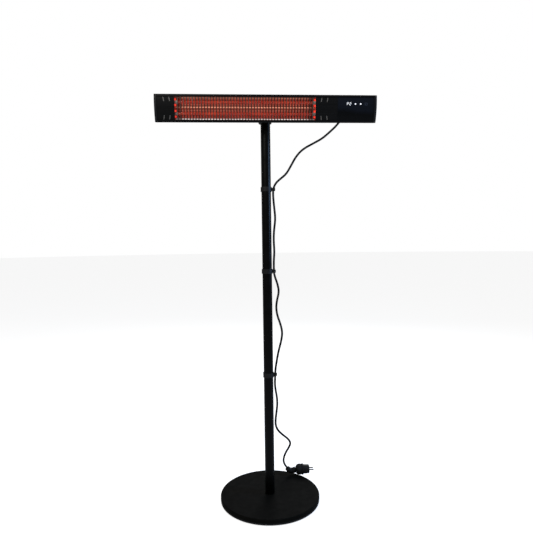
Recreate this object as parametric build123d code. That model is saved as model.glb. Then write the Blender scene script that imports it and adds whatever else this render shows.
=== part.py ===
from build123d import *
from math import pi, radians, sqrt, tan
import os

# A free-standing infrared patio heater: a long heater head on a round pole with a round weighted base.
# Millimetres, +Z up, the head lies along X and shines towards -Y. The origin is the middle of the
# base's underside, on the pole's axis.

# ---------------------------------------------------------------- driving dimensions: stand
BASE_R = 200.0
BASE_TOP = 26.0            # top face of the base cover
SEAM_Z = 10.0              # joint line between the bottom tray and the cover
FOOT_H = 3.0
COVER_WALL = 1.5
POLE_R = 19.0
POLE_WALL = 1.5
POLE_TOP = 1510.5
JOINT_Z = (520.0, 1010.0)  # where the three pole tubes meet
SLEEVE_HALF = 40.0
SCREW_OFF = 24.0           # joint screws above and below each joint
CLIP_Z = (1254.0, 930.0, 513.0)
CLIP_H = 18.0
HOOK_H = 12.0
CORD_R = 4.2
CLIP_CORD_X = (28.2, 27.0, 27.0)   # the cord's centre at each clip

# ---------------------------------------------------------------- driving dimensions: hinge
PIVOT_Y = -33.0
PIVOT_Z = 1557.0
REST_TILT = 12.0           # the face looks this many degrees down at rest
ARM_X = 26.3               # outside of the stand bracket's arms
PLATE = 3.0
BOSS_R = 12.5
HINGE_R = 4.0
RUNNING = 0.08             # radial clearance of a running fit

# ---------------------------------------------------------------- driving dimensions: head
# The head is drawn upright, with the hinge axis as its local origin, and then tilted and lifted.
HEAD_HALF = 414.5
CAP_T = 9.0
BODY_HALF = HEAD_HALF - CAP_T
HEAD_HALF_H = 50.2
REAR_Y = -24.0             # outside of the rear wall
FACE_Y = -74.0             # the front's most forward line
FACE_R = 180.0             # the front is slightly convex
WALL = 2.0
LIP_Z = 42.0               # the housing's lips cover the front beyond this height
REAR_HALF_H = 30.0
SHOULDER_Y = -38.0         # where the top and bottom turn into the rear bevels
PANEL_SET = 2.1            # the panels lie this far behind the lips' face
PANEL_T = 1.2
GLASS_T = 2.5
SEAM_X = 266.0             # joint between the front panel and the control panel
WIN_X = (-340.0, 182.0)
WIN_Z = 41.0
SLOT_R = 165.0
SLOT_W = 3.5
SLOT_FROM = 24.5
SLOT_TO = 41.5
SLOTS_LEFT = (-377.1, -355.8)
SLOTS_RIGHT = (200.9, 223.2)
ROD_R = 1.0
ROD_GAPS = 48
LAMPS = (("upper", 21.4), ("lower", -19.8))   # each lamp's height
LAMP_Y = FACE_Y + 17.0
LAMP_R = 5.5
FOCAL = 8.0                # the lamps lie along the troughs' focal lines
TROUGH_BACK = LAMP_Y + FOCAL
TROUGH_HALF = 13.7
RIDGE = (FACE_Y + 11.5, 0.8)
FLANGE = (FACE_Y + 10.7, 41.0)
SHEET = 0.8
SHIELD_HALF_H = 42.6
BAY_X = 252.0              # bulkhead between the lamp chamber and the control bay
BOX_X = (380.0, 404.0)     # terminal box on the rear wall
BOX_HALF_H = 20.0
BOX_BACK = 15.0
EXIT_X = 352.0             # where the cord leaves the strain relief
SWITCH_X = 320.0

# ---------------------------------------------------------------- driving dimensions: plug
PLUG_Y = 146.0
PLUG_Z = 49.1              # the plug's ring rests on the base
PLUG_R = 23.0
PLUG_BACK_X = 124.0
PLUG_WAIST_X = 157.0
PLUG_FACE_X = 183.0
PIN_LENGTH = 19.0
PIN_R = 2.4
PIN_SPACING = 19.0
PIN_ROOT_R = 1.9           # the stretch moulded into the body
BOOT_TIP = Vector(88, 138.5, 58)
BOOT_R = 11.0

# Route of the mains cord, from the strain relief to the plug's boot.
CORD_ROUTE = [
    (352, -33, 1557), (334.5, -33, 1557), (318.5, -30, 1550.5), (306, -24, 1538), (297, -16.5, 1521.5),
    (278, -6, 1499), (252, 0, 1475.5), (226, 5, 1454), (190, 7, 1435), (150, 6, 1414), (121, 5, 1385),
    (98, 4, 1343), (80, 3, 1314), (59, 1.2, 1297), (40, 0.4, 1281), (28.6, 0, 1260),
    (26.8, 0.4, 1232), (31, 3, 1186), (36, 5, 1138), (29, 4, 1090), (27.5, 2, 1050),
    (30, 1, 1008), (26.9, 0.3, 972), (26.8, 0, 943), (27.4, -0.5, 916), (40, -6, 880),
    (46, -6, 848), (37, -2, 812), (34, 2, 782), (39, 6, 750), (51, 8, 717),
    (59, 6, 682), (53, 2, 647), (42, -1, 610), (34, -1, 570), (27.8, 0, 531),
    (26.8, 0.4, 502), (25.6, 2, 478), (27, 6, 455), (34, 8, 416), (35, 8, 384),
    (30, 4, 352), (26.3, 2, 325), (26.6, 3, 302), (37, 7, 278), (58, 16, 256),
    (81, 29, 233), (92, 46, 209), (87, 63, 185), (77, 80, 160), (70.5, 97, 135),
    (67.5, 111, 112), (69.5, 121.5, 93.5), (77, 130.5, 76), (88, 138.5, 58),
]

os.makedirs("parts", exist_ok=True)
HEAD_PLACE = Pos(0, PIVOT_Y, PIVOT_Z) * Rot(REST_TILT, 0, 0)


def save(shape, name):
    shape.label = name
    export_step(shape, "parts/" + name + ".step")


def save_head(shape, name):
    save(HEAD_PLACE * shape, name)


def group(solids):
    return Compound(children=list(solids))


def upright(radius, z0, z1, x=0.0, y=0.0):
    """A cylinder along Z."""
    return Pos(x, y, (z0 + z1) / 2) * Cylinder(radius, z1 - z0)


def along_x(radius, x0, x1, y=0.0, z=0.0):
    """A cylinder along X."""
    return Pos((x0 + x1) / 2, y, z) * Rot(0, 90, 0) * Cylinder(radius, x1 - x0)


def along_y(radius, y0, y1, x=0.0, z=0.0):
    """A cylinder along Y."""
    return Pos(x, (y0 + y1) / 2, z) * Rot(90, 0, 0) * Cylinder(radius, y1 - y0)


def block(x0, x1, y0, y1, z0, z1):
    return Pos((x0 + x1) / 2, (y0 + y1) / 2, (z0 + z1) / 2) * Box(x1 - x0, y1 - y0, z1 - z0)


def hexagon(width, height):
    """A hexagonal head along Z, from z = 0 up."""
    return extrude(RegularPolygon(width / sqrt(3), 6), amount=height)


def section_x(sketch, x0, x1):
    """A profile drawn with Y to the right and Z up, carried along X."""
    return extrude(Plane.YZ.offset(x0) * sketch, amount=x1 - x0)


def section_y(sketch, y0, y1):
    """A profile drawn with X to the right and Z up, carried along Y."""
    return extrude(Plane((0, y0, 0), x_dir=(1, 0, 0), z_dir=(0, -1, 0)) * sketch, amount=y0 - y1)


def rect(y0, y1, z0, z1):
    return Pos((y0 + y1) / 2, (z0 + z1) / 2) * Rectangle(y1 - y0, z1 - z0)


def face_depth(z, setback=0.0):
    """Local Y of the convex front at height z, for a surface this far behind it."""
    return FACE_Y + FACE_R - sqrt((FACE_R - setback) ** 2 - z ** 2)


# ================================================================ base and pole
def make_base():
    tray = upright(BASE_R - 0.8, FOOT_H, SEAM_Z) - upright(BASE_R - 3.6, FOOT_H + 3, SEAM_Z + 1)
    tray -= upright(17, 0, SEAM_Z)
    tray = chamfer(tray.edges().filter_by(GeomType.CIRCLE).sort_by(Axis.Z)[:1], 1.0)
    save(tray, "base_bottom")

    ballast = upright(BASE_R - 4, FOOT_H + 3, BASE_TOP - COVER_WALL)
    ballast -= upright(17, 0, 14)
    ballast -= upright(6.5, 0, BASE_TOP)
    save(ballast, "base_ballast")

    cover = fillet(upright(BASE_R, SEAM_Z + 0.4, BASE_TOP).edges().sort_by(Axis.Z)[-1:], 3.0)
    cover -= upright(BASE_R - COVER_WALL, 0, BASE_TOP - COVER_WALL)
    cover -= upright(6.4, 0, BASE_TOP + 1)
    save(cover, "base_cover")

    feet = PolarLocations(168, 6) * upright(12, 0, FOOT_H)
    save(group(feet), "base_feet")

    bolt = Pos(0, 0, 5) * hexagon(18, 7) + upright(14, 12, 14) + upright(5.9, 14, 48)
    save(bolt, "base_bolt")


def pole_tube(z0, z1, screw_heights):
    tube = upright(POLE_R, z0, z1) - upright(POLE_R - POLE_WALL, z0 - 1, z1 + 1)
    for height in screw_heights:
        tube -= along_y(2.6, 5, POLE_R + 2, z=height)
    return tube


def make_pole():
    low, high = JOINT_Z
    save(pole_tube(BASE_TOP, low, (low - SCREW_OFF,)), "pole_lower")
    save(pole_tube(low, high, (low + SCREW_OFF, high - SCREW_OFF)), "pole_middle")
    save(pole_tube(high, POLE_TOP, (high + SCREW_OFF,)), "pole_upper")

    fit_r = POLE_R - POLE_WALL - 0.1
    foot = upright(fit_r, BASE_TOP, BASE_TOP + 30) - upright(6, BASE_TOP - 1, BASE_TOP + 31)
    save(foot, "pole_foot")
    for height, name in ((low, "pole_joint_lower"), (high, "pole_joint_upper")):
        sleeve = upright(fit_r, height - SLEEVE_HALF, height + SLEEVE_HALF)
        sleeve -= upright(fit_r - 2.5, height - SLEEVE_HALF - 1, height + SLEEVE_HALF + 1)
        for screw in (height - SCREW_OFF, height + SCREW_OFF):
            sleeve -= along_y(2.1, 5, POLE_R, z=screw)
        save(sleeve, name)
    plug = upright(fit_r, POLE_TOP - 30, POLE_TOP) - upright(5, POLE_TOP - 31, POLE_TOP + 1)
    save(plug, "pole_top_plug")

    screws = []
    for height in [joint + side * SCREW_OFF for joint in JOINT_Z for side in (-1, 1)]:
        shank = along_y(2.05, POLE_R - 6, POLE_R + 1, z=height)
        head = along_y(4.5, POLE_R - 0.6, POLE_R + 2.2, z=height)
        head -= Pos(0, POLE_R + 2.2, height) * Rot(90, 0, 0) * Cylinder(1.4, 3)
        head -= upright(POLE_R + 0.02, height - 8, height + 8)
        screws.append(shank + head)
    save(group(screws), "pole_joint_screws")


def make_clip(height, cord_x, name):
    """A snap band on the pole with a C-shaped hook for the cord on its right."""
    band_r = POLE_R + 3
    band = upright(band_r, height - CLIP_H / 2, height + CLIP_H / 2)
    band -= upright(POLE_R + 0.05, height - CLIP_H, height + CLIP_H)
    band -= block(-band_r - 1, -POLE_R + 3, -5, 5, height - CLIP_H, height + CLIP_H)
    hook_out = CORD_R + 3.4
    hook = upright(hook_out, height - HOOK_H / 2, height + HOOK_H / 2, cord_x)
    hook += block(POLE_R - 2, cord_x, -3.4, 3.4, height - HOOK_H / 2, height + HOOK_H / 2)
    hook -= upright(CORD_R + 1.0, height - HOOK_H, height + HOOK_H, cord_x)
    mouth = Pos(cord_x, 0, height) * Rot(0, 0, -60) * Pos(hook_out, 0, 0)
    hook -= mouth * Box(2 * hook_out, 6.6, 2 * HOOK_H)
    hook -= upright(POLE_R + 0.05, height - CLIP_H, height + CLIP_H)
    save(band + hook, name)


# ================================================================ hinge
def make_stand_bracket():
    """A folded steel fork on the pole: a floor plate and two arms that lean forward to the hinge."""
    arm_top = PIVOT_Z + BOSS_R + 1
    outer = Pos(0, (POLE_TOP + arm_top) / 2) * Rectangle(2 * ARM_X, arm_top - POLE_TOP)
    outer = fillet(outer.vertices().sort_by(Axis.Y)[:2], 8.0)
    hollow = Pos(0, (POLE_TOP + PLATE + arm_top + 1) / 2)
    hollow *= Rectangle(2 * (ARM_X - PLATE), arm_top + 1 - POLE_TOP - PLATE)
    hollow = fillet(hollow.vertices().sort_by(Axis.Y)[:2], 5.0)
    fork = section_y(outer - hollow, -60, 30)
    side = make_face(Polyline(
        (-17, POLE_TOP - 1), (19, POLE_TOP - 1), (19, POLE_TOP + 17), (PIVOT_Y + 8.5, PIVOT_Z + 9.2),
        (PIVOT_Y - 9.2, PIVOT_Z - 8.5), (-17, POLE_TOP + 19), close=True))
    side += Pos(PIVOT_Y, PIVOT_Z) * Circle(BOSS_R)
    fork &= section_x(side, -ARM_X - 1, ARM_X + 1)
    fork -= along_x(HINGE_R + RUNNING, -ARM_X - 1, ARM_X + 1, PIVOT_Y, PIVOT_Z)
    fork -= upright(5.2, POLE_TOP - 1, POLE_TOP + 10)
    save(fork, "stand_bracket")

    seat = POLE_TOP + PLATE
    bolt = upright(10, seat, seat + 2) + Pos(0, 0, seat + 2) * hexagon(16, 6.4)
    bolt += upright(4.95, POLE_TOP - 26, seat)
    save(bolt, "stand_bolt")


def make_hinge():
    shaft = along_x(HINGE_R, -27.8, 44, PIVOT_Y, PIVOT_Z)
    head = Pos(-27.8, PIVOT_Y, PIVOT_Z) * Rot(0, -90, 0) * hexagon(13, 5.3)
    save(shaft + head, "hinge_bolt")
    rings = []
    for x0, x1, radius in ((-27.8, -26.3, 8.5), (-23.25, -22.35, 9), (22.35, 23.25, 9), (26.3, 27.7, 8.5)):
        ring = along_x(radius, x0, x1, PIVOT_Y, PIVOT_Z)
        rings.append(ring - along_x(HINGE_R + RUNNING, x0 - 1, x1 + 1, PIVOT_Y, PIVOT_Z))
    save(group(rings), "hinge_washers")

    star = Circle(19)
    for index in range(6):
        star -= Rot(0, 0, 60 * index) * Pos(24, 0) * Circle(8.5)
    star = fillet(star.vertices(), 2.0)
    knob = extrude(star, amount=20)
    knob = chamfer(knob.faces().sort_by(Axis.Z)[-1].edges(), 1.2)
    knob = Pos(30, PIVOT_Y, PIVOT_Z) * Rot(0, 90, 0) * knob + along_x(9, 28, 31, PIVOT_Y, PIVOT_Z)
    knob -= along_x(6.5, 27, 46, PIVOT_Y, PIVOT_Z)
    save(knob, "tilt_knob")
    insert = along_x(6.45, 28, 45.5, PIVOT_Y, PIVOT_Z)
    insert -= along_x(HINGE_R + RUNNING, 27, 45, PIVOT_Y, PIVOT_Z)
    save(insert, "knob_insert")


def make_head_bracket():
    plate = block(-45, 45, REAR_Y, REAR_Y + PLATE, -22, 22)
    plate = fillet(plate.edges().filter_by(Axis.Y), 4.0)
    ear = make_face(Polyline((REAR_Y + 1, -20), (-4, -11.8), (-4, 11.8), (REAR_Y + 1, 20), close=True))
    ear += Circle(BOSS_R)
    for side in (-1, 1):
        x0, x1 = sorted((side * 19.3, side * 22.3))
        plate += section_x(ear, x0, x1)
    plate -= along_x(HINGE_R + RUNNING, -30, 30)
    screws = []
    for x in (-36, 36):
        for z in (-14, 14):
            plate -= along_y(2.7, REAR_Y - 1, REAR_Y + PLATE + 1, x, z)
            screw = along_y(2.6, REAR_Y - 8, REAR_Y + PLATE, x, z)
            screws.append(screw + along_y(4.75, REAR_Y + PLATE, REAR_Y + PLATE + 2.7, x, z))
    save_head(plate, "head_bracket")
    save_head(group(screws), "head_bracket_screws")
    spacer = along_x(6.5, -19.2, 19.2) - along_x(HINGE_R + RUNNING, -20, 20)
    save_head(spacer, "hinge_spacer")


# ================================================================ head shell
def head_outline():
    """The head's outer section: convex front, flat top and bottom, bevelled back."""
    corner_y = face_depth(HEAD_HALF_H)
    front = ThreePointArc((corner_y, -HEAD_HALF_H), (FACE_Y, 0), (corner_y, HEAD_HALF_H))
    back = Polyline(
        (corner_y, HEAD_HALF_H), (SHOULDER_Y, HEAD_HALF_H), (REAR_Y, REAR_HALF_H),
        (REAR_Y, -REAR_HALF_H), (SHOULDER_Y, -HEAD_HALF_H), (corner_y, -HEAD_HALF_H))
    outline = make_face(front + back)
    outline = fillet(outline.vertices().sort_by(Axis.X)[:2], 5.0)
    return fillet(outline.vertices().sort_by(Axis.X)[-4:], 6.0)


PORTS = [(-56.5, 44.2), (-56.5, -44.2), (-33.0, 33.5), (-33.0, -33.5)]
BOLT_HOLES = [(-36, -14), (-36, 14), (36, -14), (36, 14)]


def make_housing():
    outline = head_outline()
    inner = offset(outline, amount=-WALL)
    profile = outline - inner - rect(FACE_Y - 1, FACE_Y + 12, -LIP_Z, LIP_Z)
    for y, z in PORTS:
        profile += Pos(y, z) * Circle(3.6) & outline
    for y, z in PORTS:
        profile -= Pos(y, z) * Circle(1.55)
    housing = section_x(profile, -BODY_HALF, BODY_HALF)
    for x, z in BOLT_HOLES:
        housing -= along_y(2.65, REAR_Y - 4, REAR_Y + 1, x, z)
    housing -= block(SWITCH_X - 10.9, SWITCH_X + 10.9, REAR_Y - 4, REAR_Y + 1, -7.7, 7.7)
    housing -= block(BOX_X[0] + 4, BOX_X[1] - 4, REAR_Y - 4, REAR_Y + 1, -12, 12)
    save_head(housing, "head_housing")


def make_end_caps():
    outline = head_outline()
    for side, name in ((-1, "end_cap_left"), (1, "end_cap_right")):
        inner_x = side * (BODY_HALF + 0.6)
        outer_x = side * HEAD_HALF
        x0, x1 = sorted((inner_x, outer_x))
        cap = section_x(outline, x0, x1)
        rim = cap.faces().filter_by(Plane.YZ).sort_by(Axis.X)[0 if side < 0 else -1]
        cap = fillet(rim.edges(), 2.0)
        for y, z in PORTS:
            cap -= along_x(1.75, x0 - 1, x1 + 1, y, z)
            sink0, sink1 = sorted((outer_x, outer_x - side * 2.4))
            cap -= along_x(3.0, sink0 - 0.5, sink1 + 0.5, y, z)
        save_head(cap, name)
    screws = []
    gaskets = []
    ring = outline - offset(outline, amount=-4)
    for side in (-1, 1):
        head_x = side * (HEAD_HALF - 2.8)
        for y, z in PORTS:
            x0, x1 = sorted((head_x, side * (BODY_HALF - 12)))
            screw = along_x(1.5, x0, x1, y, z)
            x0, x1 = sorted((head_x, side * (HEAD_HALF - 0.6)))
            screw += along_x(2.8, x0, x1, y, z)
            screws.append(screw)
        x0, x1 = sorted((side * BODY_HALF, side * (BODY_HALF + 0.6)))
        gasket = section_x(ring, x0, x1)
        for y, z in PORTS:
            gasket -= along_x(1.75, x0 - 1, x1 + 1, y, z)
        gaskets.append(gasket)
    save_head(group(screws), "end_cap_screws")
    save_head(group(gaskets), "end_cap_gaskets")


def curved_sheet(setback, thickness, half_height, x0, x1):
    """A sheet that follows the convex front, this far behind it."""
    centre = Pos(FACE_Y + FACE_R, 0)
    ring = centre * Circle(FACE_R - setback) - centre * Circle(FACE_R - setback - thickness)
    ring &= rect(FACE_Y - 1, FACE_Y + 25, -half_height, half_height)
    return section_x(ring, x0, x1)


def vent_slot(x_middle, bulge):
    """A pair of short curved slots, one above and one below, that bulge towards +X or -X."""
    centre = Pos(x_middle - bulge * SLOT_R, 0)
    band = centre * Circle(SLOT_R + SLOT_W / 2) - centre * Circle(SLOT_R - SLOT_W / 2)
    upper = rect(x_middle - 15, x_middle + 15, SLOT_FROM, SLOT_TO)
    lower = rect(x_middle - 15, x_middle + 15, -SLOT_TO, -SLOT_FROM)
    return section_y(band & (upper + lower), FACE_Y - 2, FACE_Y + 14)


def make_front():
    panel = curved_sheet(PANEL_SET, PANEL_T, 45.5, -BODY_HALF + 0.2, SEAM_X - 0.3)
    panel -= block(WIN_X[0], WIN_X[1], FACE_Y - 2, FACE_Y + 20, -WIN_Z, WIN_Z)
    for x in SLOTS_LEFT:
        panel -= vent_slot(x, 1)
    for x in SLOTS_RIGHT:
        panel -= vent_slot(x, -1)
    save_head(panel, "front_panel")
    glass = curved_sheet(PANEL_SET, GLASS_T, 45.5, SEAM_X, BODY_HALF - 0.2)
    save_head(glass, "control_panel")


def make_grille():
    """Upright bent rods with a rail along their upper and lower ends."""
    setback = PANEL_SET + PANEL_T + ROD_R + 0.1
    bend = Pos(FACE_Y + FACE_R, 0)
    ring = bend * Circle(FACE_R - setback + ROD_R) - bend * Circle(FACE_R - setback - ROD_R)
    ring &= rect(FACE_Y - 1, FACE_Y + 25, -44, 44)
    pitch = (WIN_X[1] - WIN_X[0]) / ROD_GAPS
    grille = None
    rail_y = face_depth(43, setback + ROD_R + 0.9)
    for z in (-43, 43):
        rail = along_x(1.2, WIN_X[0] - 6, WIN_X[1] + 6, rail_y, z)
        grille = rail if grille is None else grille + rail
    rods = [section_x(ring, WIN_X[0] + pitch * k - ROD_R * 0.88, WIN_X[0] + pitch * k + ROD_R * 0.88)
            for k in range(1, ROD_GAPS)]
    grille = grille + rods
    save_head(grille, "grille")


# ================================================================ heating chamber
def trough_profile(lamp_z):
    """Section of one reflector: half the ridge, a parabolic trough and the outer flange."""
    side = 1 if lamp_z > 0 else -1
    heights = [side * TROUGH_HALF * (k / 6 - 1) for k in range(13)]
    trough = [(TROUGH_BACK - h * h / (4 * FOCAL), lamp_z + h) for h in heights]
    crest = (RIDGE[0], RIDGE[1] + side * 0.3)
    rim = (FLANGE[0], side * FLANGE[1])
    line = Polyline(crest, trough[0]) + Spline(*trough) + Polyline(trough[-1], rim)
    back = Pos(SHEET, 0) * line
    ends = Polyline(crest, (crest[0] + SHEET, crest[1])) + Polyline(rim, (rim[0] + SHEET, rim[1]))
    return make_face(line + back + ends)


def make_heating_chamber():
    inside = (WIN_X[0] - 1.5, WIN_X[1] + 1.5)
    for name, z in LAMPS:
        save_head(section_x(trough_profile(z), *inside), "reflector_" + name)
        tube = along_x(LAMP_R, WIN_X[0] - 4, WIN_X[1] + 4, LAMP_Y, z)
        tube -= along_x(LAMP_R - 1.1, WIN_X[0] - 5, WIN_X[1] + 5, LAMP_Y, z)
        save_head(tube, "lamp_tube_" + name)

    ends = []
    for x0, x1 in ((inside[0] - 1.0, inside[0]), (inside[1], inside[1] + 1.0)):
        plate = block(x0, x1, FACE_Y + 8.6, TROUGH_BACK + 3, -40.4, 40.4)
        for name, z in LAMPS:
            plate -= along_x(7.2, x0 - 1, x1 + 1, LAMP_Y, z)
        ends.append(plate)
    save_head(group(ends), "reflector_ends")

    filaments = [along_x(1.6, WIN_X[0] + 6, WIN_X[1] - 6, LAMP_Y, z) for name, z in LAMPS]
    save_head(group(filaments), "filaments")

    collars = []
    holders = []
    for name, z in LAMPS:
        for end, way in ((WIN_X[0], 1), (WIN_X[1], -1)):
            x0, x1 = sorted((end - way * 18, end + way * 9))
            collar = along_x(6.9, x0, x1, LAMP_Y, z)
            x0, x1 = sorted((end - way * 4.2, end + way * 10))
            collars.append(collar - along_x(LAMP_R + 0.1, x0, x1, LAMP_Y, z))
            x0, x1 = sorted((end - way * 12, end - way * 10.5))
            clip = block(x0, x1, LAMP_Y - 8, TROUGH_BACK + 3, z - 12, z + 12)
            clip -= along_x(7.0, x0 - 1, x1 + 1, LAMP_Y, z)
            holders.append(clip)
    save_head(group(collars), "lamp_collars")
    save_head(group(holders), "lamp_holders")

    back = TROUGH_BACK + 4.5
    shield = block(WIN_X[0] - 16, WIN_X[1] + 16, back, back + SHEET, -SHIELD_HALF_H, SHIELD_HALF_H)
    for side in (-1, 1):
        z0, z1 = sorted((side * SHIELD_HALF_H, side * (SHIELD_HALF_H - SHEET)))
        shield += block(WIN_X[0] - 16, WIN_X[1] + 16, back - 7, back, z0, z1)
    save_head(shield, "heat_shield")

    bulkhead = rect(FACE_Y + 13, SHOULDER_Y, -38, 38) + rect(SHOULDER_Y, REAR_Y - WALL - 0.4, -28, 28)
    behind = PANEL_SET + PANEL_T + 0.4
    plates = [curved_sheet(behind, SHEET, 40, -398, WIN_X[0] - 3.5),
              curved_sheet(behind, SHEET, 40, WIN_X[1] + 3.5, BAY_X - 1),
              section_x(bulkhead, BAY_X, BAY_X + 1.2)]
    plates[2] -= along_x(3.9, BAY_X - 1, BAY_X + 3, -43.8, 33.4)
    save_head(group(plates), "bay_plates")


# ================================================================ control bay
def make_controls():
    board_y = FACE_Y + 17.0
    board = block(284, 396, board_y, board_y + 1.6, -34, 34)
    for x in (289, 391):
        for z in (-29, 29):
            board -= along_y(1.6, board_y - 1, board_y + 3, x, z)
    save_head(board, "control_board")
    display = block(298, 319.5, board_y - 9, board_y, 11.2, 26.5)
    save_head(display, "display_module")
    leds = [along_y(2.4, board_y - 9, board_y, x, 18.2) for x in (332.8, 352.7)]
    save_head(group(leds), "status_leds")
    relays = [block(x, x + 19, board_y + 1.6, board_y + 17, -28, -12) for x in (292, 316)]
    save_head(group(relays), "relays")
    terminals = block(382.5, 401.5, REAR_Y + 0.2, REAR_Y + 11, -10, 10)
    for z in (-6.5, 0, 6.5):
        terminals -= along_y(2.0, REAR_Y + 5, REAR_Y + 12, 392, z)
    save_head(terminals, "terminal_block")

    leads = []
    for (name, z), drop in zip(LAMPS, (0, 2.4)):
        path = FilletPolyline(
            (WIN_X[1] + 19, LAMP_Y + 2, z),
            (WIN_X[1] + 36, LAMP_Y + 5, z + 2),
            (BAY_X - 14, -45 + drop, 34 - 1.2 + drop / 2), (BAY_X + 20, -45 + drop, 34 - 1.2 + drop / 2),
            (BAY_X + 34, -46 + drop, 26), radius=7)
        leads.append(sweep(Plane(path @ 0, z_dir=path % 0) * Circle(1.1), path=path))
    save_head(group(leads), "lamp_leads")


def make_terminal_box():
    low, high = BOX_X
    box = block(low, high, REAR_Y, BOX_BACK, -BOX_HALF_H, BOX_HALF_H)
    box = fillet(box.edges().filter_by(Axis.X).sort_by(Axis.Y)[-2:], 8.0)
    box = fillet(box.faces().sort_by(Axis.Y)[-1].edges(), 1.5)
    box -= block(low + 2, high - 2, REAR_Y - 1, BOX_BACK - 2, -BOX_HALF_H + 2, BOX_HALF_H - 2)
    box -= along_x(8.05, low - 1, low + 3)
    save_head(box, "terminal_box")
    gland = Pos(EXIT_X + 20, 0, 0) * Rot(0, 90, 0) * hexagon(20, low - EXIT_X - 20)
    gland += along_x(8.0, low - 1, low + 6)
    gland -= along_x(CORD_R + 0.1, EXIT_X + 19, low + 7)
    save_head(gland, "cable_gland")
    tip = Pos(EXIT_X, 0, 0) * Rot(0, 90, 0)
    relief = tip * Pos(0, 0, 10) * Cone(5.6, 7.8, 20)
    for k in range(4):
        relief -= tip * Pos(0, 0, 3.5 + 4.2 * k) * (Cylinder(9, 1.2) - Cylinder(5.0 + 0.4 * k, 1.2))
    save_head(relief, "strain_relief")


def make_switch():
    """A rocker switch in the rear wall. The rocker turns about the head's length."""
    bezel = block(SWITCH_X - 12.5, SWITCH_X + 12.5, REAR_Y, REAR_Y + 2, -9, 9)
    bezel += block(SWITCH_X - 10.7, SWITCH_X + 10.7, REAR_Y - 17, REAR_Y, -7.5, 7.5)
    bezel -= block(SWITCH_X - 9.4, SWITCH_X + 9.4, REAR_Y - 9, REAR_Y + 3, -6.4, 6.4)
    bezel -= along_x(1.2 + RUNNING, SWITCH_X - 10.3, SWITCH_X + 10.3, REAR_Y - 1.0)
    save_head(bezel, "switch_housing")
    rocker = make_face(Polyline(
        (-2.6, -5.2), (3.4, -5.4), (2.2, 0), (3.4, 5.4), (-2.6, 5.2), close=True))
    rocker = section_x(rocker, SWITCH_X - 9.0, SWITCH_X + 9.0)
    rocker = Pos(0, REAR_Y - 1.0, 0) * Rot(-8, 0, 0) * rocker
    rocker += along_x(1.2, SWITCH_X - 10.2, SWITCH_X + 10.2, REAR_Y - 1.0)
    save_head(rocker, "switch_rocker")


# ================================================================ cord and plug
def cord_radii(points):
    """One radius for each corner of the route, as large as its two runs allow."""
    radii = []
    for before, here, after in zip(points, points[1:], points[2:]):
        come = here - before
        go = after - here
        turn = radians(come.get_angle(go))
        radii.append(0.45 * min(come.length, go.length) / tan(turn / 2))
    return radii


def make_cord():
    points = [Vector(*p) for p in CORD_ROUTE]
    radii = cord_radii(points)
    path = FilletPolyline(*points, radius=radii)
    start = Plane(path @ 0, z_dir=path % 0)
    cord = sweep(start * Circle(CORD_R), path=path)
    save(cord, "mains_cord")
    runs = [(b - a).length for a, b in zip(points, points[1:])]
    turns = [(b - a).get_angle(c - b) for a, b, c in zip(points, points[1:], points[2:])]
    print("cord length", round(path.length, 1), "longest run", round(max(runs), 1))
    print("volume / (section x length)", round(cord.volume / (pi * CORD_R ** 2 * path.length), 4))
    print("turns", [round(t) for t in turns])
    print("radii", [round(r) for r in radii])
    print("run ratios", [round(max(a, b) / min(a, b), 1) for a, b in zip(runs, runs[1:])])


def make_plug():
    """A round rubber mains plug with two pins and side earth contacts, lying on the base."""
    axis_place = Pos(0, PLUG_Y, PLUG_Z)
    back = PLUG_BACK_X + 0.1
    grip = Spline(
        (back, 11.2), (back + 2.4, 16.2), (back + 7, 20.5), (back + 13, 22.2), (back + 23, 21.8),
        (PLUG_WAIST_X - 7, 20.6))
    front = Polyline(
        (PLUG_WAIST_X - 7, 20.6), (PLUG_WAIST_X - 6.4, PLUG_R), (PLUG_WAIST_X - 0.6, PLUG_R),
        (PLUG_WAIST_X, 19.4), (PLUG_FACE_X - 2, 18.2), (PLUG_FACE_X, 16.4), (PLUG_FACE_X, 0),
        (back, 0), (back, 11.2))
    body = revolve(Plane.XY * make_face(grip + front), axis=Axis.X)
    for side in (-1, 1):
        body -= block(PLUG_WAIST_X + 1, PLUG_FACE_X + 1, -5.5, 5.5, side * 18.5 - 3, side * 18.5 + 3)
        body -= along_x(PIN_ROOT_R, PLUG_FACE_X - 12, PLUG_FACE_X + 1, side * PIN_SPACING / 2)
    save(axis_place * body, "plug_body")
    pins = []
    contacts = []
    for side in (-1, 1):
        y = side * PIN_SPACING / 2
        pin = along_x(PIN_R, PLUG_FACE_X, PLUG_FACE_X + PIN_LENGTH, y)
        pin = chamfer(pin.edges().sort_by(Axis.X)[-1:], 0.9)
        pin += along_x(PIN_ROOT_R, PLUG_FACE_X - 12, PLUG_FACE_X, y)
        pins.append(axis_place * pin)
        z0, z1 = sorted((side * 15.5, side * 17.3))
        contacts.append(axis_place * block(PLUG_WAIST_X + 1, PLUG_FACE_X - 2, -4, 4, z0, z1))
    save(group(pins), "plug_pins")
    save(group(contacts), "plug_earth_contacts")

    root = Vector(PLUG_BACK_X, PLUG_Y, PLUG_Z)
    heading = (BOOT_TIP - Vector(*CORD_ROUTE[-2])).normalized()
    path = TangentArc(BOOT_TIP, root, tangent=heading)
    boot = sweep(Plane(path @ 0, z_dir=path % 0) * Circle(BOOT_R), path=path)
    save(boot, "plug_boot")
    print("boot end heading", path % 1, "length", round(path.length, 1))


make_base()
make_pole()
for clip_z, clip_x, place in zip(CLIP_Z, CLIP_CORD_X, ("upper", "middle", "lower")):
    make_clip(clip_z, clip_x, "cord_clip_" + place)
make_stand_bracket()
make_hinge()
make_head_bracket()
make_housing()
make_end_caps()
make_front()
make_grille()
make_heating_chamber()
make_controls()
make_terminal_box()
make_switch()
make_cord()
make_plug()
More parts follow.
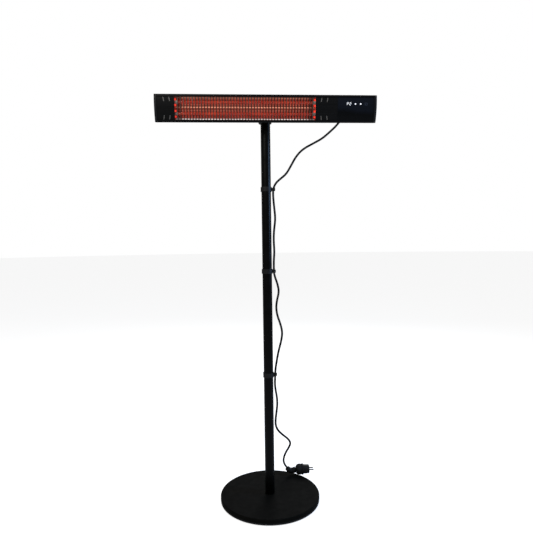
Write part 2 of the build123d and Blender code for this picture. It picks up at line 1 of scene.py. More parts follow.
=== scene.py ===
from math import cos, pi, radians, sin

import bmesh
import bpy
from mathutils import Matrix, Vector


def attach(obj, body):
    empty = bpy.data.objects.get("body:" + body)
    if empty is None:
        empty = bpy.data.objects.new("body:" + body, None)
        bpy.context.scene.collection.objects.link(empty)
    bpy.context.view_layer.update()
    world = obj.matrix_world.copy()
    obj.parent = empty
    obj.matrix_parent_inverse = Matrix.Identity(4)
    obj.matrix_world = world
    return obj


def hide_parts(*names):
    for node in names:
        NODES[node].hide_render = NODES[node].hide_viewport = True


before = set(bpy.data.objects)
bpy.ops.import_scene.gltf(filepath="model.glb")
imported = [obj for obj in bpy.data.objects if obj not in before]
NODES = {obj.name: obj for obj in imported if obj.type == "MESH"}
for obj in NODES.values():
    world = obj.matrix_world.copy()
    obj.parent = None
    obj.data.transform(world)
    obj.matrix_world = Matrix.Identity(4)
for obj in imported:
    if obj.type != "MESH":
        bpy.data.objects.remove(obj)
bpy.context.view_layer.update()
SCENE = bpy.context.scene

# ---------------------------------------------------------------- the head's own frame
PIVOT = Vector((0.0, -0.033, 1.557))
REST_TILT = radians(12.0)
FACE_Y = -0.074            # the front's most forward line, in the head's frame
FACE_R = 0.180
PANEL_SET = 0.0021
LAMP_Y = -0.057
LAMPS = (("upper", 0.0214), ("lower", -0.0198))   # each lamp's height
WINDOW_X = (-0.340, 0.182)
WINDOW_MID = (WINDOW_X[0] + WINDOW_X[1]) / 2
WINDOW_HALF = (WINDOW_X[1] - WINDOW_X[0]) / 2
ROD_GAPS = 48
HEAD = Matrix.Translation(PIVOT) @ Matrix.Rotation(REST_TILT, 4, "X")


def face_y(z, setback=PANEL_SET):
    """How far forward the convex panel lies at this height, in the head's frame."""
    return FACE_Y + FACE_R - ((FACE_R - setback) ** 2 - z * z) ** 0.5


# ================================================================ objects
def add_object(data, name):
    obj = bpy.data.objects.new(name, data)
    SCENE.collection.objects.link(obj)
    return obj


def mesh_object(bm, name, material, place=None, smooth=True):
    bmesh.ops.recalc_face_normals(bm, faces=bm.faces[:])
    mesh = bpy.data.meshes.new(name)
    bm.to_mesh(mesh)
    bm.free()
    if place is not None:
        mesh.transform(place)
    for polygon in mesh.polygons:
        polygon.use_smooth = smooth
    mesh.materials.append(material)
    return add_object(mesh, name)


def curve_object(points, name, material, radius, order=3, bevel_resolution=6, resolution=8):
    curve = bpy.data.curves.new(name, "CURVE")
    curve.dimensions = "3D"
    curve.bevel_depth = radius
    curve.bevel_resolution = bevel_resolution
    curve.use_fill_caps = True
    curve.resolution_u = resolution
    spline = curve.splines.new("NURBS")
    spline.points.add(len(points) - 1)
    for point, place in zip(spline.points, points):
        point.co = (*place, 1.0)
    spline.order_u = order
    spline.use_endpoint_u = True
    curve.materials.append(material)
    return add_object(curve, name)


# ================================================================ materials
def shader(name, colour, roughness, metallic=0.0, specular=0.5, **sockets):
    """A new material with its Principled shader's fixed values set on the sockets themselves."""
    material = bpy.data.materials.new(name)
    material.use_nodes = True
    bsdf = material.node_tree.nodes["Principled BSDF"]
    bsdf.inputs["Base Color"].default_value = (*colour, 1.0)
    bsdf.inputs["Roughness"].default_value = roughness
    bsdf.inputs["Metallic"].default_value = metallic
    bsdf.inputs["Specular IOR Level"].default_value = specular
    for socket, value in sockets.items():
        bsdf.inputs[socket.replace("_", " ")].default_value = value
    return material


def pattern(material, kind, scale, stretch=(1, 1, 1), detail=3.0, **settings):
    """A texture in the object's own coordinates (metres), with its value output."""
    nodes = material.node_tree.nodes
    links = material.node_tree.links
    coords = nodes.new("ShaderNodeTexCoord")
    mapping = nodes.new("ShaderNodeMapping")
    mapping.inputs["Scale"].default_value = stretch
    links.new(coords.outputs["Object"], mapping.inputs["Vector"])
    texture = nodes.new(kind)
    links.new(mapping.outputs["Vector"], texture.inputs["Vector"])
    texture.inputs["Scale"].default_value = scale
    if "Detail" in texture.inputs:
        texture.inputs["Detail"].default_value = detail
    for name, value in settings.items():
        setattr(texture, name, value)
    return texture.outputs["Distance" if kind == "ShaderNodeTexVoronoi" else "Fac"]


def noise(material, scale, stretch=(1, 1, 1), detail=3.0):
    return pattern(material, "ShaderNodeTexNoise", scale, stretch, detail)


def cells(material, scale, stretch=(1, 1, 1)):
    return pattern(material, "ShaderNodeTexVoronoi", scale, stretch)


def colour_between(material, value, dark, light, low=0.35, high=0.65):
    nodes = material.node_tree.nodes
    links = material.node_tree.links
    ramp = nodes.new("ShaderNodeValToRGB")
    ramp.color_ramp.elements[0].position = low
    ramp.color_ramp.elements[0].color = (*dark, 1.0)
    ramp.color_ramp.elements[1].position = high
    ramp.color_ramp.elements[1].color = (*light, 1.0)
    links.new(value, ramp.inputs["Fac"])
    links.new(ramp.outputs["Color"], nodes["Principled BSDF"].inputs["Base Color"])
    return ramp


def ranged(owner, value, start, end, low=0.0, high=1.0, smooth=False):
    """Carries a value from start..end to low..high, in a material's or the world's nodes."""
    node = owner.node_tree.nodes.new("ShaderNodeMapRange")
    if smooth:
        node.interpolation_type = "SMOOTHSTEP"
    limits = {"From Min": start, "From Max": end, "To Min": low, "To Max": high}
    for socket, limit in limits.items():
        node.inputs[socket].default_value = limit
    owner.node_tree.links.new(value, node.inputs["Value"])
    return node.outputs["Result"]


def roughness_between(material, value, low, high):
    bsdf = material.node_tree.nodes["Principled BSDF"]
    material.node_tree.links.new(ranged(material, value, 0.3, 0.7, low, high), bsdf.inputs["Roughness"])


def relief(material, *layers):
    """Stacks bump layers, each a (value, depth in metres) pair."""
    nodes = material.node_tree.nodes
    links = material.node_tree.links
    normal = None
    for value, depth in layers:
        bump = nodes.new("ShaderNodeBump")
        bump.inputs["Distance"].default_value = depth
        links.new(value, bump.inputs["Height"])
        if normal is not None:
            links.new(normal, bump.inputs["Normal"])
        normal = bump.outputs["Normal"]
    links.new(normal, nodes["Principled BSDF"].inputs["Normal"])


def powder_coat(name, dark, light, roughness, specular, grain=1500.0, depth=0.00006):
    material = shader(name, light, roughness, specular=specular)
    colour_between(material, noise(material, 9.0, detail=5), dark, light)
    roughness_between(material, noise(material, 40.0), roughness - 0.05, roughness + 0.08)
    relief(material, (noise(material, grain, detail=2), depth), (noise(material, 160.0), depth * 0.6))
    return material


def brushed(name, dark, light, roughness, metallic=1.0, specular=0.5, depth=0.00001, lines=(3, 500, 500)):
    material = shader(name, light, roughness, metallic=metallic, specular=specular)
    streaks = noise(material, 1.0, lines, 4)
    colour_between(material, streaks, dark, light, 0.2, 0.8)
    roughness_between(material, streaks, roughness * 0.8, roughness * 1.25)
    relief(material, (streaks, depth))
    return material


def moulded(name, dark, light, roughness, specular=0.3, grain=2200.0, depth=0.00004):
    material = shader(name, light, roughness, specular=specular)
    colour_between(material, noise(material, 30.0), dark, light)
    roughness_between(material, noise(material, 120.0), roughness - 0.06, roughness + 0.06)
    relief(material, (cells(material, grain), depth), (noise(material, 90.0), depth))
    return material


def zinc(name, dark, light, roughness):
    material = shader(name, light, roughness, metallic=1.0)
    spangle = cells(material, 140.0, (1, 1, 1.6))
    colour_between(material, spangle, dark, light, 0.1, 0.7)
    roughness_between(material, noise(material, 260.0), roughness - 0.08, roughness + 0.1)
    relief(material, (noise(material, 900.0), 0.00002))
    return material


BASE_COAT = powder_coat("base_coat", (0.0032, 0.0032, 0.0028), (0.0042, 0.0042, 0.0037), 0.60, 0.022)
TUBE_PAINT = powder_coat(
    "tube_paint", (0.0006, 0.0006, 0.0006), (0.0010, 0.0010, 0.0010), 0.30, 0.11, 500.0,
    0.000003)
BRACKET_COAT = powder_coat("bracket_coat", (0.0040, 0.0040, 0.0042), (0.0070, 0.0070, 0.0074), 0.5, 0.2)
SHELL = brushed("shell", (0.0028, 0.0028, 0.0030), (0.0050, 0.0050, 0.0053), 0.42, 0.0, 0.08, 0.000004)
PANEL = brushed(
    "panel", (0.0036, 0.0037, 0.0037), (0.0064, 0.0064, 0.0063), 0.46, 0.0, 0.08, 0.000003,
    (4, 420, 420))
LINER = brushed(
    "dark_liner", (0.150, 0.146, 0.142), (0.240, 0.236, 0.230), 0.55, 0.0, 0.12, 0.00001,
    (4, 300, 300))
ROD_STEEL = brushed(
    "rod_steel", (0.10, 0.085, 0.075), (0.22, 0.19, 0.17), 0.30, 1.0, 0.5, 0.00001,
    (600, 600, 20))
STEEL = brushed("steel", (0.40, 0.40, 0.40), (0.64, 0.64, 0.63), 0.34, 1.0, 0.5, 0.00001, (700, 60, 60))
NICKEL = brushed(
    "nickel", (0.06, 0.06, 0.058), (0.12, 0.118, 0.115), 0.34, 1.0, 0.5, 0.000006,
    (40, 700, 700))
BRASS = brushed("brass", (0.42, 0.28, 0.09), (0.70, 0.52, 0.22), 0.3, 1.0, 0.5, 0.00001, (60, 600, 600))
SHEET_METAL = zinc("sheet_metal", (0.34, 0.35, 0.36), (0.60, 0.61, 0.62), 0.4)
PLASTIC = moulded("plastic", (0.0042, 0.0042, 0.0045), (0.0072, 0.0072, 0.0076), 0.5, 0.22)
RUBBER = moulded(
    "rubber", (0.0035, 0.0035, 0.0036), (0.0060, 0.0060, 0.0062), 0.6, 0.18, 3000.0,
    0.00003)
COLLAR = moulded("collar_ceramic", (0.22, 0.18, 0.16), (0.34, 0.30, 0.27), 0.6, 0.3, 1200.0, 0.00003)
CERAMIC = moulded("ceramic", (0.62, 0.60, 0.55), (0.80, 0.78, 0.72), 0.6, 0.4, 1200.0, 0.00003)
WHITE_PLASTIC = moulded("white_plastic", (0.60, 0.62, 0.62), (0.76, 0.77, 0.76), 0.4, 0.5)
RELAY_BLUE = moulded("relay_blue", (0.010, 0.035, 0.16), (0.016, 0.055, 0.22), 0.4, 0.5)


def make_gloss_panel():
    """Dark glass-like film with a painted reflection: bluish above a slanted line and darker below it."""
    material = shader(
        "gloss_panel", (0.0040, 0.0050, 0.0070), 0.20, specular=0.07, Coat_Weight=0.04,
        Coat_Roughness=0.08)
    along, _, height = local_axes(material)
    # painted reflection: a bluish band above a slanted line in the head's frame, darker below it
    slanted = calculate(material, "MULTIPLY_ADD", along, 0.10, height)
    painted_reflection_band = calculate(material, "MULTIPLY_ADD", slanted, 9.0, 0.30)
    cloudy_painted_reflection = calculate(material, "MULTIPLY_ADD", noise(material, 14.0, detail=5), 0.10, painted_reflection_band)
    colour_between(material, cloudy_painted_reflection, (0.0026, 0.0031, 0.0036), (0.0058, 0.0076, 0.0118), 0.50, 0.66)
    roughness_between(material, noise(material, 25.0, detail=6), 0.16, 0.26)
    relief(material, (noise(material, 12.0), 0.00004))
    return material


def make_concrete():
    material = shader("concrete", (0.36, 0.35, 0.33), 0.9, specular=0.3)
    speckle = noise(material, 60.0, detail=8)
    colour_between(material, speckle, (0.22, 0.21, 0.20), (0.42, 0.41, 0.38), 0.3, 0.7)
    relief(material, (noise(material, 500.0), 0.0003), (cells(material, 120.0), 0.0004))
    return material


def local_axes(material):
    """The head's own X, Y and Z in metres, whatever its tilt."""
    nodes = material.node_tree.nodes
    links = material.node_tree.links
    coords = nodes.new("ShaderNodeTexCoord")
    mapping = nodes.new("ShaderNodeMapping")
    mapping.vector_type = "TEXTURE"
    mapping.inputs["Location"].default_value = PIVOT
    mapping.inputs["Rotation"].default_value = (REST_TILT, 0, 0)
    links.new(coords.outputs["Object"], mapping.inputs["Vector"])
    split = nodes.new("ShaderNodeSeparateXYZ")
    links.new(mapping.outputs["Vector"], split.inputs["Vector"])
    return split.outputs


def calculate(material, operation, *values):
    node = material.node_tree.nodes.new("ShaderNodeMath")
    node.operation = operation
    for socket, value in zip(node.inputs, values):
        if isinstance(value, (int, float)):
            socket.default_value = value
        else:
            material.node_tree.links.new(value, socket)
    return node.outputs[0]


# Painted light across the troughs, banded by height: the lamps' red glow, a painted highlight along the
# ridge and a painted reflection on the lower flange. Each band is a height in the head's frame, then its
# colour.
PAINTED_LIGHT_BANDS = (
    (-0.0402, (0.02, 0.012, 0.010)), (-0.0394, (0.74, 0.71, 0.69)), (-0.0378, (0.74, 0.71, 0.69)),
    (-0.0366, (0.20, 0.07, 0.050)), (-0.0340, (0.18, 0.026, 0.018)), (-0.0120, (0.19, 0.030, 0.021)),
    (-0.0062, (0.24, 0.070, 0.046)), (-0.0030, (0.11, 0.016, 0.010)), (0.0010, (0.17, 0.030, 0.020)),
    (0.0026, (0.70, 0.28, 0.18)), (0.0052, (0.70, 0.28, 0.18)), (0.0068, (0.10, 0.014, 0.009)),
    (0.0136, (0.27, 0.064, 0.042)), (0.0170, (0.17, 0.026, 0.017)), (0.0300, (0.14, 0.020, 0.013)),
    (0.0350, (0.20, 0.048, 0.032)), (0.0376, (0.24, 0.12, 0.080)), (0.0398, (0.02, 0.012, 0.010)),
)
GLOW_SPAN = 0.042
RIDGE_Z = 0.001
ROD_PITCH = 2 * WINDOW_HALF / ROD_GAPS
LIT_END = 0.030            # the troughs' painted glow is dark this far in from the window's ends
END_FADE = 0.010
STRIP_W = 0.0052           # painted red glow in strips at the window's two ends
STRIP_FADE = 0.0012
STRIP_HALF_H = 0.0138
TROUGH_MID = 0.0203        # each trough's middle is this far from the ridge
GLASS_GLOW = 0.085
GLASS_DARK_FROM = 0.034
GLASS_DARK_BY = 0.014


def lit_columns(material, along, dark, bright):
    """Bright between the rods and dark behind them, where their mirror images fall."""
    column = calculate(material, "MULTIPLY_ADD", along, 1 / ROD_PITCH, -WINDOW_X[0] / ROD_PITCH)
    wobble = calculate(material, "MULTIPLY_ADD", noise(material, 26.0, (1, 5, 5), 3), 0.34, -0.17)
    away = calculate(material, "PINGPONG", calculate(material, "ADD", column, wobble), 0.5)
    return ranged(material, away, 0.10, 0.30, dark, bright, smooth=True)


def from_window_middle(material, along):
    return calculate(material, "ABSOLUTE", calculate(material, "SUBTRACT", along, WINDOW_MID))


def make_reflector():
    """Polished troughs with painted light drawn over them by place: the lamps' glow, highlights on the
    ridge and flange, the rods' mirror images and red strips at the window's ends.
    """
    material = brushed(
        "reflector", (0.16, 0.13, 0.12), (0.30, 0.26, 0.24), 0.20, 1.0, 0.5, 0.00003, (5, 260, 260))
    nodes = material.node_tree.nodes
    links = material.node_tree.links
    bsdf = nodes["Principled BSDF"]
    along, _, height = local_axes(material)
    # painted glow, highlight and reflection, banded by height across the troughs
    ramp = nodes.new("ShaderNodeValToRGB")
    stops = ramp.color_ramp.elements
    for count, (place, colour) in enumerate(PAINTED_LIGHT_BANDS):
        stop = stops[count] if count < 2 else stops.new(1.0)
        stop.position = (place + GLOW_SPAN) / (2 * GLOW_SPAN)
        stop.color = (*colour, 1.0)
    ripple = calculate(material, "MULTIPLY_ADD", noise(material, 34.0, (1, 2, 2), 2), 0.0016, -0.0008)
    place = calculate(material, "ADD", height, ripple)
    links.new(calculate(material, "MULTIPLY_ADD", place, 0.5 / GLOW_SPAN, 0.5), ramp.inputs["Fac"])

    lit = lit_columns(material, along, 0.05, 1.15)
    outwards = from_window_middle(material, along)
    dark_from = WINDOW_HALF - LIT_END
    ends = ranged(material, outwards, dark_from, dark_from + END_FADE, 1.0, 0.28, smooth=True)
    strength = calculate(material, "MULTIPLY", lit, ends)
    streaks = calculate(material, "MULTIPLY_ADD", noise(material, 1.0, (16, 150, 330), 4), 2.2, -0.12)
    strength = calculate(material, "MULTIPLY", strength, streaks)

    # painted red glow in strips at the window's ends, beside each lamp
    edge = ranged(material, outwards, WINDOW_HALF - STRIP_W, WINDOW_HALF - STRIP_W + STRIP_FADE)
    from_ridge = calculate(material, "ABSOLUTE", calculate(material, "SUBTRACT", height, RIDGE_Z))
    from_lamp = calculate(material, "ABSOLUTE", calculate(material, "SUBTRACT", from_ridge, TROUGH_MID))
    beside_lamp = calculate(material, "LESS_THAN", from_lamp, STRIP_HALF_H)
    strip = calculate(material, "MULTIPLY", edge, beside_lamp)
    tint = nodes.new("ShaderNodeMix")
    tint.data_type = "RGBA"
    tint.inputs["B"].default_value = (1.0, 0.05, 0.03, 1.0)
    links.new(strip, tint.inputs["Factor"])
    links.new(ramp.outputs["Color"], tint.inputs["A"])
    links.new(tint.outputs["Result"], bsdf.inputs["Emission Color"])
    strip_glow = calculate(material, "MULTIPLY", strip, 0.85)
    strength = calculate(material, "MAXIMUM", strength, strip_glow)
    links.new(strength, bsdf.inputs["Emission Strength"])
    return material


def make_end_plate():
    """The troughs' end plates, with a painted red glow in patches where the lamps pass through them."""
    material = brushed(
        "end_plate", (0.20, 0.16, 0.14), (0.34, 0.30, 0.27), 0.30, 1.0, 0.5, 0.00001, (260, 260, 8))
    bsdf = material.node_tree.nodes["Principled BSDF"]
    bsdf.inputs["Emission Color"].default_value = (1.0, 0.055, 0.030, 1.0)
    patches = noise(material, 55.0, (1, 1, 1), 3)
    strength = calculate(material, "MULTIPLY_ADD", patches, 1.6, 0.6)
    material.node_tree.links.new(strength, bsdf.inputs["Emission Strength"])
    return material


def make_ruby_glass():
    """Red quartz that glows along its wound length and is dark towards its ends."""
    material = shader(
        "ruby_quartz", (0.60, 0.07, 0.03), 0.10, specular=0.5, Alpha=0.80,
        Emission_Color=(1.0, 0.045, 0.022, 1.0), Emission_Strength=0.1)
    colour_between(material, noise(material, 18.0, (1, 4, 4)), (0.30, 0.030, 0.016), (0.60, 0.08, 0.035))
    relief(material, (noise(material, 60.0), 0.00005))
    along = local_axes(material)[0]
    glow = ranged(
        material, from_window_middle(material, along), WINDOW_HALF - GLASS_DARK_FROM,
        WINDOW_HALF - GLASS_DARK_BY, 1.0, 0.1, smooth=True)
    # painted shade: the lamp's glow dims in columns behind the rods
    columns = lit_columns(material, along, 0.25 * GLASS_GLOW, 1.7 * GLASS_GLOW)
    strength = calculate(material, "MULTIPLY", glow, columns)
    bsdf = material.node_tree.nodes["Principled BSDF"]
    material.node_tree.links.new(strength, bsdf.inputs["Emission Strength"])
    return material


def make_circuit_board():
    material = shader("circuit_board", (0.01, 0.09, 0.03), 0.35)
    tracks = pattern(material, "ShaderNodeTexBrick", 260.0, (1, 1, 1), offset=0.5)
    colour_between(material, tracks, (0.006, 0.06, 0.02), (0.03, 0.16, 0.06), 0.3, 0.7)
    relief(material, (tracks, 0.00005))
    return material


def glowing(name, colour, strength, dark, light, grain):
    material = shader(
        name, light, 0.5, Emission_Color=(*colour, 1.0), Emission_Strength=strength)
    colour_between(material, noise(material, grain), dark, light)
    return material


GLOSS_PANEL = make_gloss_panel()
CONCRETE = make_concrete()
CIRCUIT_BOARD = make_circuit_board()
RUBY_GLASS = make_ruby_glass()
REFLECTOR = make_reflector()
END_PLATE = make_end_plate()
COIL_GLOW = glowing("coil_glow", (1.0, 0.20, 0.06), 0.65, (0.10, 0.05, 0.03), (0.30, 0.12, 0.06), 600.0)
LAMP_WHITE = glowing(
    "indicator_white", (0.92, 0.96, 1.0), 0.75, (0.7, 0.7, 0.7), (0.9, 0.9, 0.9),
    900.0)
ICON_BLUE = glowing(
    "icon_blue", (0.10, 0.16, 0.30), 0.10, (0.01, 0.014, 0.025), (0.02, 0.026, 0.04),
    900.0)

NODE_MATERIALS = {
    "base_bottom": PLASTIC, "base_ballast": CONCRETE, "base_cover": BASE_COAT, "base_feet": RUBBER,
    "base_bolt": STEEL, "pole_foot": BRACKET_COAT, "pole_lower": TUBE_PAINT, "pole_middle": TUBE_PAINT,
    "pole_upper": TUBE_PAINT, "pole_joint_lower": SHEET_METAL, "pole_joint_upper": SHEET_METAL,
    "pole_joint_screws": STEEL, "pole_top_plug": STEEL, "cord_clip_upper": PLASTIC,
    "cord_clip_middle": PLASTIC, "cord_clip_lower": PLASTIC, "stand_bracket": BRACKET_COAT,
    "stand_bolt": STEEL, "hinge_bolt": STEEL, "hinge_washers": STEEL, "hinge_spacer": STEEL,
    "tilt_knob": PLASTIC, "knob_insert": BRASS, "head_bracket": BRACKET_COAT,
    "head_bracket_screws": STEEL, "head_housing": SHELL, "end_cap_left": PLASTIC,
    "end_cap_right": PLASTIC, "end_cap_gaskets": RUBBER, "end_cap_screws": STEEL, "front_panel": PANEL,
    "control_panel": GLOSS_PANEL, "grille": ROD_STEEL, "reflector_upper": REFLECTOR,
    "reflector_lower": REFLECTOR, "reflector_ends": END_PLATE, "lamp_tube_upper": RUBY_GLASS,
    "lamp_tube_lower": RUBY_GLASS, "filaments": COIL_GLOW, "lamp_collars": COLLAR,
    "lamp_holders": SHEET_METAL, "heat_shield": SHEET_METAL, "bay_plates": LINER,
    "control_board": CIRCUIT_BOARD, "display_module": WHITE_PLASTIC, "status_leds": WHITE_PLASTIC,
    "relays": RELAY_BLUE, "terminal_block": CERAMIC, "lamp_leads": WHITE_PLASTIC,
    "terminal_box": PLASTIC, "cable_gland": PLASTIC, "strain_relief": RUBBER,
    "switch_housing": PLASTIC, "switch_rocker": GLOSS_PANEL, "mains_cord": RUBBER,
    "plug_boot": RUBBER, "plug_body": RUBBER, "plug_pins": NICKEL, "plug_earth_contacts": NICKEL,
}


def dress_nodes():
    for name, obj in NODES.items():
        obj.data.materials.clear()
        obj.data.materials.append(NODE_MATERIALS[name])


# ================================================================ camera, floor and light
CAMERA_PLACE = Vector((-0.1374, -1.9783, 1.0531))
CAMERA_YAW = radians(3.90)      # towards +X
CAMERA_PITCH = radians(3.00)    # down
CAMERA_ROLL = radians(-0.74)
LENS_MM = 33.67


def make_camera():
    data = bpy.data.cameras.new("camera")
    data.sensor_width = 36.0
    data.lens = LENS_MM
    data.clip_end = 200.0
    camera = add_object(data, "camera")
    forward = Vector((
        sin(CAMERA_YAW) * cos(CAMERA_PITCH), cos(CAMERA_YAW) * cos(CAMERA_PITCH), -sin(CAMERA_PITCH)))
    level = Vector((cos(CAMERA_YAW), -sin(CAMERA_YAW), 0.0))
    above = level.cross(forward)
    right = level * cos(CAMERA_ROLL) + above * sin(CAMERA_ROLL)
    up = above * cos(CAMERA_ROLL) - level * sin(CAMERA_ROLL)
    turn = Matrix((right, up, -forward)).transposed()
    camera.matrix_world = Matrix.Translation(CAMERA_PLACE) @ turn.to_4x4()
    SCENE.camera = camera


SURROUND_LIGHT = 0.30
FLOOR_GLOW = 0.74


def make_world():
    """Camera rays see a white surround. The object is lit by a dimmer one."""
    world = bpy.data.worlds.new("studio")
    world.use_nodes = True
    nodes = world.node_tree.nodes
    background = nodes["Background"]
    background.inputs["Color"].default_value = (1.0, 1.0, 1.0, 1.0)
    seen = nodes.new("ShaderNodeLightPath").outputs["Is Camera Ray"]
    strength = ranged(world, seen, 0.0, 1.0, SURROUND_LIGHT, 1.0)
    world.node_tree.links.new(strength, background.inputs["Strength"])
    SCENE.world = world
    SCENE.view_settings.view_transform = "Standard"


def make_floor():
    """Pale paper that reads as white to the camera and reflects as a mid grey."""
    material = shader("floor_paper", (0.62, 0.62, 0.62), 0.9, specular=0.05,
                      Emission_Color=(1.0, 1.0, 1.0, 1.0))
    relief(material, (noise(material, 400.0), 0.00005))
    nodes = material.node_tree.nodes
    seen = nodes.new("ShaderNodeLightPath").outputs["Is Camera Ray"]
    strength = ranged(material, seen, 0.0, 1.0, 0.0, FLOOR_GLOW)
    material.node_tree.links.new(strength, nodes["Principled BSDF"].inputs["Emission Strength"])
    bm = bmesh.new()
    bmesh.ops.create_circle(bm, cap_ends=True, radius=40.0, segments=96)
    floor = mesh_object(bm, "floor", material, Matrix.Translation((0, 0, -0.0002)))


def add_light(name, place, target, size, power, colour):
    data = bpy.data.lights.new(name, "AREA")
    data.shape = "RECTANGLE"
    data.size, data.size_y = size
    data.energy = power
    data.color = colour
    lamp = add_object(data, name)
    lamp.location = place
    lamp.rotation_euler = (Vector(target) - Vector(place)).to_track_quat("-Z", "Y").to_euler()


def make_lights():
    add_light("key", (-1.6, -2.4, 3.2), (0, 0, 1.0), (1.8, 1.8), 70.0, (1.0, 0.975, 0.94))
    add_light("side_strip", (2.3, -0.5, 1.75), (0, 0, 1.35), (0.6, 1.2), 50.0, (0.34, 0.58, 1.0))
    add_light("back_fill", (0.6, 2.6, 2.8), (0, 0, 0.9), (1.6, 1.6), 40.0, (1.0, 1.0, 1.0))


# ================================================================ cord and plug
CORD_RADIUS = 0.0042
CORD_ROUTE = [
    (0.352, -0.033, 1.557), (0.3345, -0.033, 1.557), (0.3185, -0.030, 1.5505), (0.306, -0.024, 1.538),
    (0.297, -0.0165, 1.5215), (0.278, -0.006, 1.499), (0.252, 0, 1.4755), (0.226, 0.005, 1.454),
    (0.190, 0.007, 1.435), (0.150, 0.006, 1.414), (0.121, 0.005, 1.385), (0.098, 0.004, 1.343),
    (0.080, 0.003, 1.314), (0.059, 0.0012, 1.297), (0.040, 0.0004, 1.281), (0.0286, 0, 1.260),
    (0.0268, 0.0004, 1.232), (0.031, 0.003, 1.186), (0.036, 0.005, 1.138), (0.029, 0.004, 1.090),
    (0.0275, 0.002, 1.050), (0.030, 0.001, 1.008), (0.0269, 0.0003, 0.972), (0.0268, 0, 0.943),
    (0.0274, -0.0005, 0.916), (0.040, -0.006, 0.880), (0.046, -0.006, 0.848), (0.037, -0.002, 0.812),
    (0.034, 0.002, 0.782), (0.039, 0.006, 0.750), (0.051, 0.008, 0.717), (0.059, 0.006, 0.682),
    (0.053, 0.002, 0.647), (0.042, -0.001, 0.610), (0.034, -0.001, 0.570), (0.0278, 0, 0.531),
    (0.0268, 0.0004, 0.502), (0.0256, 0.002, 0.478), (0.027, 0.006, 0.455), (0.034, 0.008, 0.416),
    (0.035, 0.008, 0.384), (0.030, 0.004, 0.352), (0.0263, 0.002, 0.325), (0.0266, 0.003, 0.302),
    (0.037, 0.007, 0.278), (0.058, 0.016, 0.256), (0.081, 0.029, 0.233), (0.092, 0.046, 0.209),
    (0.087, 0.063, 0.185), (0.077, 0.080, 0.160), (0.0705, 0.097, 0.135), (0.0675, 0.111, 0.112),
    (0.0695, 0.1215, 0.0935), (0.077, 0.1305, 0.076), (0.088, 0.1385, 0.058),
]
BOOT_TIP = Vector((0.088, 0.1385, 0.058))
BOOT_ROOT = Vector((0.124, 0.146, 0.0491))
BOOT_CORNER = Vector((0.1008, 0.1478, 0.0371))   # where the boot's two end directions meet


def tube_along(bm, centres, radii, segments=32):
    """A closed tube round these centres with a radius at each, keeping its rings untwisted."""
    side = Vector((0, 0, 1))
    rings = []
    for k, (centre, radius) in enumerate(zip(centres, radii)):
        ahead = (centres[min(k + 1, len(centres) - 1)] - centres[max(k - 1, 0)]).normalized()
        side = (side - ahead * side.dot(ahead)).normalized()
        across = ahead.cross(side)
        ring = []
        for j in range(segments):
            turn = 2 * pi * j / segments
            ring.append(bm.verts.new(centre + radius * (side * cos(turn) + across * sin(turn))))
        rings.append(ring)
    for low, high in zip(rings, rings[1:]):
        for j in range(segments):
            after = (j + 1) % segments
            bm.faces.new((low[j], low[after], high[after], high[j]))
    bm.faces.new(rings[0][::-1])
    bm.faces.new(rings[-1])


def make_boot():
    """The plug's bend relief: a tapered sleeve with grooves round it."""
    steps = 84
    grooves = 7
    centres = []
    radii = []
    for k in range(steps + 1):
        t = k / steps
        centres.append(BOOT_TIP * (1 - t) ** 2 + BOOT_CORNER * 2 * t * (1 - t) + BOOT_ROOT * t * t)
        radius = 0.0108 + 0.0022 * t
        groove = 0.5 - 0.5 * cos(2 * pi * t * grooves)
        radii.append(radius - 0.0011 * groove ** 3)
    bm = bmesh.new()
    tube_along(bm, centres, radii)
    boot = mesh_object(bm, "plug_boot_ribbed", RUBBER)
    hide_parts("plug_boot")
    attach(boot, "stand")
    return boot


def make_cord():
    boot = make_boot()
    cord = curve_object(CORD_ROUTE, "mains_cord_line", RUBBER, CORD_RADIUS)
    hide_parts("mains_cord")
    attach(cord, "stand")


# ================================================================ heating lamps
COIL_RADIUS = 0.0021
COIL_PITCH = 0.0042
COIL_WIRE = 0.00045


def make_coils():
    """The wound elements inside the quartz tubes."""
    start = WINDOW_X[0] + 0.018
    end = WINDOW_X[1] - 0.018
    turns = int((end - start) / COIL_PITCH)
    per_turn = 10
    for name, lamp_z in LAMPS:
        points = []
        for k in range(turns * per_turn + 1):
            turn = 2 * pi * k / per_turn
            x = start + (end - start) * k / (turns * per_turn)
            place = Vector((x, LAMP_Y + COIL_RADIUS * cos(turn), lamp_z + COIL_RADIUS * sin(turn)))
            points.append(HEAD @ place)
        coil = curve_object(points, "heating_coil_" + name, COIL_GLOW, COIL_WIRE, 3, 1, 2)
        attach(coil, "head")
    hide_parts("filaments")


# ================================================================ control panel marks
MARK_LIFT = 0.0001
DIGIT_H = 0.0090
DIGIT_W = 0.0056
STROKE = 0.0011
DIGIT_BASE_Z = 0.0142
DISPLAY_X = (0.3010, 0.3103)
SEGMENTS = {"P": "abefg", "2": "abdeg"}
SEGMENT_GAP = 0.0002
DOT_X = (0.3328, 0.3527)
DOT_Z = 0.0182
DOT_R = 0.0027
ICON_X = 0.3737
ICON_Z = 0.0183
ICON_R = 0.0046
ICON_LINE = 0.0009
ICON_BAR = (0.0012, 0.0058)    # the upright stroke's two ends above the icon's centre
ICON_OPENING = radians(32)
ICON_STEPS = 40


def on_panel(x, z, lift=MARK_LIFT):
    """A point on the control panel's convex front, lifted off it."""
    return HEAD @ Vector((x, face_y(z) - lift, z))


def plate_on_panel(bm, outline, lift=MARK_LIFT):
    """A thin raised plate with this (x, z) outline."""
    front = [bm.verts.new(on_panel(x, z, lift)) for x, z in outline]
    back = [bm.verts.new(on_panel(x, z, -0.0002)) for x, z in outline]
    bm.faces.new(front)
    bm.faces.new(back[::-1])
    for k in range(len(outline)):
        after = (k + 1) % len(outline)
        bm.faces.new((front[k], back[k], back[after], front[after]))


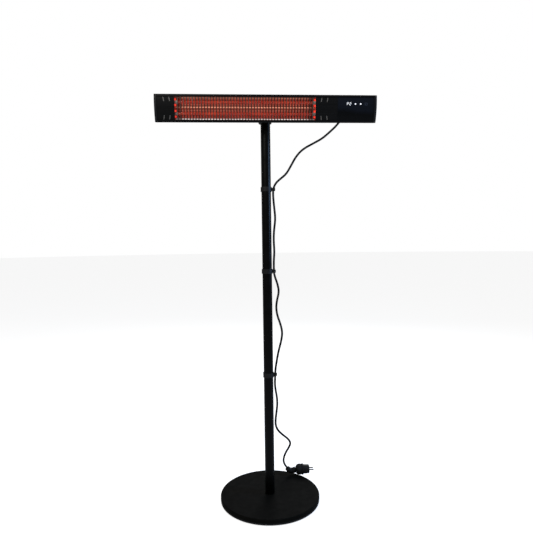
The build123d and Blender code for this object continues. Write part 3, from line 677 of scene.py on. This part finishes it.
def segment_outline(letter, x0, z0):
    """One stroke of a seven-segment digit: a bar with pointed ends."""
    half = DIGIT_H / 2
    gap = SEGMENT_GAP
    bars = {
        "a": ((0, 2 * half), (DIGIT_W, 2 * half)), "g": ((0, half), (DIGIT_W, half)),
        "d": ((0, 0), (DIGIT_W, 0)),
        "f": ((0, half), (0, 2 * half)), "e": ((0, 0), (0, half)),
        "b": ((DIGIT_W, half), (DIGIT_W, 2 * half)), "c": ((DIGIT_W, 0), (DIGIT_W, half)),
    }
    (xa, za), (xb, zb) = bars[letter]
    t = STROKE / 2
    if za == zb:
        points = [
            (xa + gap, za), (xa + t, za + t), (xb - t, za + t),
            (xb - gap, za), (xb - t, za - t), (xa + t, za - t)]
    else:
        points = [
            (xa, za + gap), (xa - t, za + t), (xa - t, zb - t),
            (xa, zb - gap), (xa + t, zb - t), (xa + t, za + t)]
    return [(x0 + x, z0 + z) for x, z in points]


def round_outline(x, z, radius, count=28):
    turns = [2 * pi * k / count for k in range(count)]
    return [(x + radius * cos(turn), z + radius * sin(turn)) for turn in turns]


def make_marks():
    bm = bmesh.new()
    for x0, digit in zip(DISPLAY_X, "P2"):
        for letter in SEGMENTS[digit]:
            plate_on_panel(bm, segment_outline(letter, x0, DIGIT_BASE_Z))
    digits = mesh_object(bm, "display_digits", LAMP_WHITE, smooth=False)

    bm = bmesh.new()
    for x in DOT_X:
        plate_on_panel(bm, round_outline(x, DOT_Z, DOT_R))
    dots = mesh_object(bm, "indicator_dots", LAMP_WHITE, smooth=False)

    bm = bmesh.new()
    arc = (2 * pi - 2 * ICON_OPENING) / ICON_STEPS
    half = ICON_LINE / 2
    for k in range(ICON_STEPS):
        a0 = pi / 2 + ICON_OPENING + arc * k
        a1 = pi / 2 + ICON_OPENING + arc * (k + 1)
        inner, outer = ICON_R - half, ICON_R + half
        corners = [(inner, a0), (outer, a0), (outer, a1), (inner, a1)]
        plate_on_panel(bm, [(ICON_X + r * cos(a), ICON_Z + r * sin(a)) for r, a in corners])
    low, high = (ICON_Z + end for end in ICON_BAR)
    plate_on_panel(bm, [
        (ICON_X - half, low), (ICON_X + half, low), (ICON_X + half, high), (ICON_X - half, high)])
    icon = mesh_object(bm, "power_icon", ICON_BLUE, smooth=False)
    for piece in (digits, dots, icon):
        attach(piece, "head")


# ================================================================ build
make_camera()
make_world()
make_floor()
make_lights()
dress_nodes()
make_cord()
make_coils()
make_marks()
